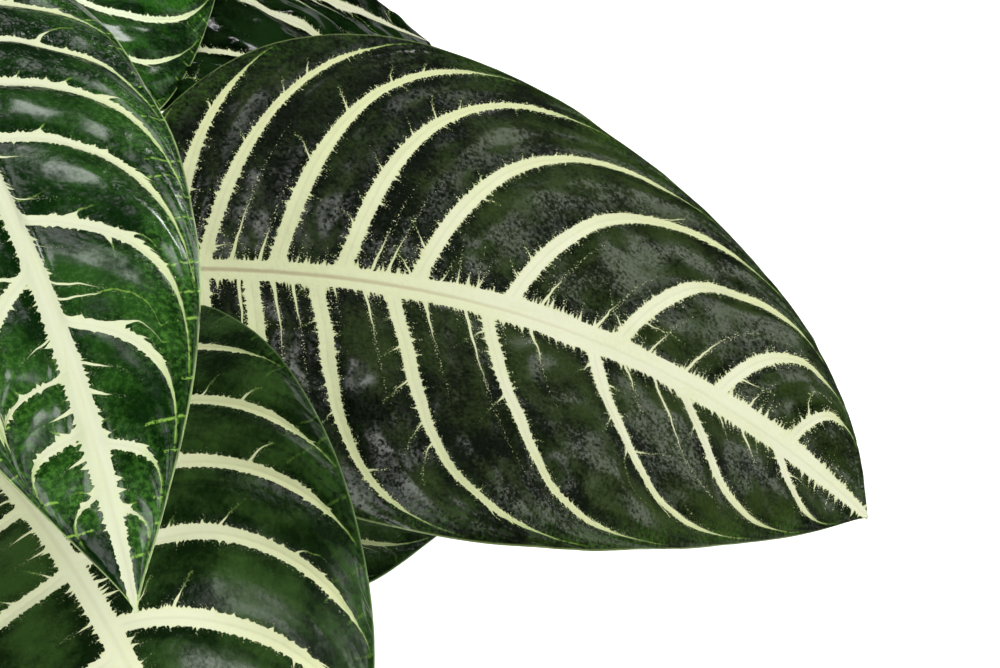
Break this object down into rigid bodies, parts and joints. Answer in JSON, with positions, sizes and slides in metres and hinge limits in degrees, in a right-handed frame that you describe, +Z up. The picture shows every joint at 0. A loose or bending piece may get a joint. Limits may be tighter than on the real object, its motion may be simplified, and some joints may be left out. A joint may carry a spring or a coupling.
{
  "type": "potted zebra plant",
  "caption": "Potted zebra plant: two leafy shoots with broad dark green leaves, cream veins, standing in soil in a plain clay pot.",
  "frame": {"origin": "centre of the pot's underside, on the surface that it stands on", "axes": "+Z up; +X to the right and -Y towards the viewer, as in the picture"},
  "size_m": [0.4812, 0.4403, 0.4727],
  "materials": {
    "terracotta": "matt unglazed clay",
    "peat": "damp dark potting soil",
    "stalk": "smooth green stem, brown at the foot",
    "leaf_green": "glossy dark green with cream veins"
  },
  "bodies": {
    "root": {"clay_pot": "terracotta", "potting_soil": "peat", "main_stem": "stalk", "rear_stem": "stalk", "main_leaf_1_right": "leaf_green", "main_leaf_1_left": "leaf_green", "main_leaf_2_front": "leaf_green", "main_leaf_2_back": "leaf_green", "main_leaf_3_back": "leaf_green", "main_leaf_3_front": "leaf_green", "main_leaf_4_right": "leaf_green", "main_leaf_4_left": "leaf_green", "main_leaf_5_front": "leaf_green", "main_leaf_5_back": "leaf_green", "main_leaf_6_right": "leaf_green", "main_leaf_6_left": "leaf_green", "rear_leaf_1_right": "leaf_green", "rear_leaf_1_left": "leaf_green", "rear_leaf_2_right": "leaf_green"}
  },
  "joints": []
}
